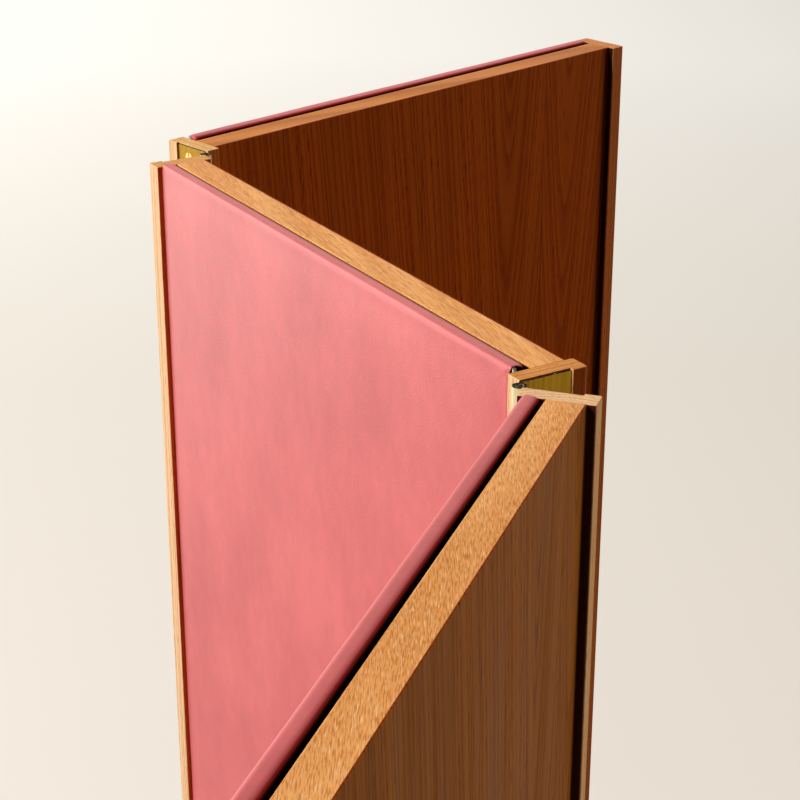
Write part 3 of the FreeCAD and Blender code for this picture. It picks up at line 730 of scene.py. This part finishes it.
def makeTuck(panel, form):
    # ribbon on edge, its top falling from front to back by a smooth step; the powers keep the sign:
    # x = off + half (cos u)^1/2 + a wave, z = top - length / 2 (1 - (sin u)^1/4)
    run = np.linspace(0, 1, form["rows"])[:, None]
    u = np.linspace(0, 2 * np.pi, form["around"], endpoint=False)[None]
    fall = np.clip((run - form["stand"][0]) / (form["stand"][1] - form["stand"][0]), 0, 1)
    top = -form["drop"][0] - (form["drop"][1] - form["drop"][0]) * fall ** 2 * (3 - 2 * fall)
    top = top + form["wave"] * np.sin(form["topWave"] * run)
    x = form["off"] + form["half"] * np.sign(np.cos(u)) * np.abs(np.cos(u)) ** 0.5
    x = x + form["wave"] * np.sin(form["sideWave"] * run)
    z = top - form["length"] / 2 * (1 - np.sign(np.sin(u)) * np.abs(np.sin(u)) ** 0.25)
    deep = (padHigh - padLow)[1] / mm - sum(form["inset"])
    y = padLow[1] / mm + form["inset"][0] + run * deep + 0 * u
    points = np.stack((padHigh[0] + x * mm, y * mm, padHigh[2] + z * mm), axis=-1).reshape(-1, 3)
    numbers = np.arange(len(points)).reshape(x.shape)
    faces = bandFaces(numbers).tolist() + [numbers[0].tolist(), numbers[-1, ::-1].tolist()]
    mesh = bpy.data.meshes.new(f"{panel}_panel_tuck")
    mesh.from_pydata(placed(points, panel).tolist(), [], faces)
    mesh.polygons.foreach_set("use_smooth", np.ones(len(mesh.polygons), bool))
    mesh.materials.append(plain["rawEdge"])
    tuck = bpy.data.objects.new(f"{panel}_panel_tuck", mesh)
    scene.collection.objects.link(tuck)
    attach(tuck, f"{panel}_panel")


for seed, panel in enumerate(panels):
    makePad(panel, padForm, seed)
    makeTuck(panel, tuckForm)
print("leather pads made")


# Studio: pale floor, a key lamp high on the leather side, three weak lamps for the edges
# and a warm fill on the wood side

studio = {
    "floor": "#7A7876", "dimFloor": "#1E1D1C", "rough": 0.9, "shine": 0.1,
    "radius": 40.0, "inner": 0.02, "rings": 24, "spokes": 96, "sink": 0.1,  # m, but the sink in mm
    "fadeReach": 10.0, "shown": [(0.21, "#D2CBC0"), (0.4, "#DAD3C7"), (0.76, "#F1EDE5")],  # painted light: the glow grows with distance
    "bright": (-0.518, -0.856, 0.0), "slope": (-2.4, 1.8, 0.8, 1.18),  # painted light: a little brighter to one side
    "ambient": 0.02, "sky": "#F2EDE6",
}
lamps = {  # place, aim, width and height in m, watts, tint
    "key": ((-0.25, -6.05, 5.9), (-0.1, -0.05, 1.4), (0.9, 0.9), 600.0, "#FFF8F0"),
    "side": ((-2.75, -1.5, 1.6), (-0.1, -0.05, 1.4), (1.5, 2.4), 40.0, "#FFF8F0"),
    "edge": ((-2.57, -0.95, 3.1), (-0.1, -0.05, 1.68), (0.8, 0.8), 24.0, "#FFF8F0"),
    "rim": ((-3.3, 1.8, 3.05), (0.0, 0.0, 1.7), (2.4, 1.6), 9.0, "#FFF8F0"),
    "fill": ((0.9, 3.9, 2.3), (0.0, 0.0, 1.0), (2.4, 2.4), 80.0, "#FFDDB8"),
}


def shownRays(tree):  # 1 for what the camera, a gloss or glass sees, 0 for light that falls on things
    path = addNode(tree, "LightPath")
    both = addNode(tree, "Math", larger, {0: path["Is Camera Ray"], 1: path["Is Glossy Ray"]})[0]
    return addNode(tree, "Math", larger, {0: both, 1: path["Is Transmission Ray"]})[0]


def makeFloor(setup):
    # a disc of rings: x = r cos a, y = r sin a, with r growing as the square of the ring's number
    shape = (setup["rings"], setup["spokes"])
    radius = setup["radius"] * np.linspace(setup["inner"], 1, shape[0])[:, None] ** 2
    angle = np.linspace(0, 2 * np.pi, shape[1], endpoint=False)[None]
    height = np.full(shape, -setup["sink"] * mm)
    flat = np.stack((radius * np.cos(angle), radius * np.sin(angle), height), axis=-1)
    numbers = np.arange(height.size).reshape(shape)
    mesh = bpy.data.meshes.new("floor")
    faces = bandFaces(numbers).tolist() + [numbers[0].tolist()]
    mesh.from_pydata(flat.reshape(-1, 3).tolist(), [], faces)
    settings = {"Roughness": setup["rough"], "Specular IOR Level": setup["shine"]}
    material, tree, shader = newMaterial("paleFloor", settings)
    shown = shownRays(tree)
    settings = {**rgba, 6: tint(setup["dimFloor"]), 7: tint(setup["floor"])}
    base = addNode(tree, "Mix", settings, {0: shown})[2]
    place = addNode(tree, "TexCoord")["Object"]
    away = addNode(tree, "VectorMath", length, {0: place})["Value"]
    away = addNode(tree, "Math", {"operation": "DIVIDE", 1: setup["fadeReach"]}, {0: away})[0]
    # painted light: the glow seen by the camera and glosses grows with distance and to one side
    tone = addNode(tree, "ValToRGB", {"stops": setup["shown"]}, {0: away})[0]
    settings = {"operation": "DOT_PRODUCT", 1: setup["bright"]}
    aside = addNode(tree, "VectorMath", settings, {0: place})["Value"]
    aside = addNode(tree, "MapRange", inTurn(*setup["slope"]), {0: aside})[0]
    lift = addNode(tree, "Math", multiply, {0: aside, 1: shown})[0]
    material.cycles.emission_sampling = "NONE"  # the floor's own glow is seen, but lights nothing
    wire(tree, shader, {"Base Color": base, "Emission Color": tone, "Emission Strength": lift})
    mesh.materials.append(material)
    floor = bpy.data.objects.new("floor", mesh)
    scene.collection.objects.link(floor)


def makeWorld(setup):
    world = bpy.data.worlds.new("studio")
    scene.world = world
    world.cycles.sampling_method = "NONE"
    world.use_nodes = True
    tree = world.node_tree
    tree.nodes.clear()
    strength = addNode(tree, "MapRange", {3: setup["ambient"], 4: 1.0}, {0: shownRays(tree)})[0]
    sky = addNode(tree, "Background", {"Color": tint(setup["sky"])}, {"Strength": strength})[0]
    addNode(tree, "OutputWorld", links={"Surface": sky})


def aimed(obj, place, look):  # stands obj at place, its -Z along look
    obj.location = place
    obj.rotation_euler = Vector(look).to_track_quat("-Z", "Y").to_euler()
    scene.collection.objects.link(obj)


makeFloor(studio)
makeWorld(studio)
for name, (place, aim, size, watts, hexText) in lamps.items():
    lamp = bpy.data.lights.new(name, "AREA")
    lamp.shape, lamp.size, lamp.size_y = "RECTANGLE", *size
    lamp.energy, lamp.color = watts, tint(hexText)[:3]
    holder = bpy.data.objects.new(name, lamp)
    holder.visible_camera = False
    aimed(holder, place, np.subtract(aim, place))
print("studio lit")


# Camera: beyond the right-hand end of the screen and above it, looking down on the top edges

viewpoint = {
    "place": (0.90136, -0.60345, 2.09316), "azimuth": 58.83, "pitch": 23.379,
    "lens": 90.0, "sensor": 36.0, "clip": (0.05, 200.0),
}
lens = bpy.data.cameras.new("camera")
lens.lens, lens.sensor_width = viewpoint["lens"], viewpoint["sensor"]
lens.clip_start, lens.clip_end = viewpoint["clip"]
camera = bpy.data.objects.new("camera", lens)
azimuth, pitch = np.radians((viewpoint["azimuth"], viewpoint["pitch"]))
ahead = (-np.sin(azimuth) * np.cos(pitch), np.cos(azimuth) * np.cos(pitch), -np.sin(pitch))
aimed(camera, viewpoint["place"], ahead)
scene.camera = camera
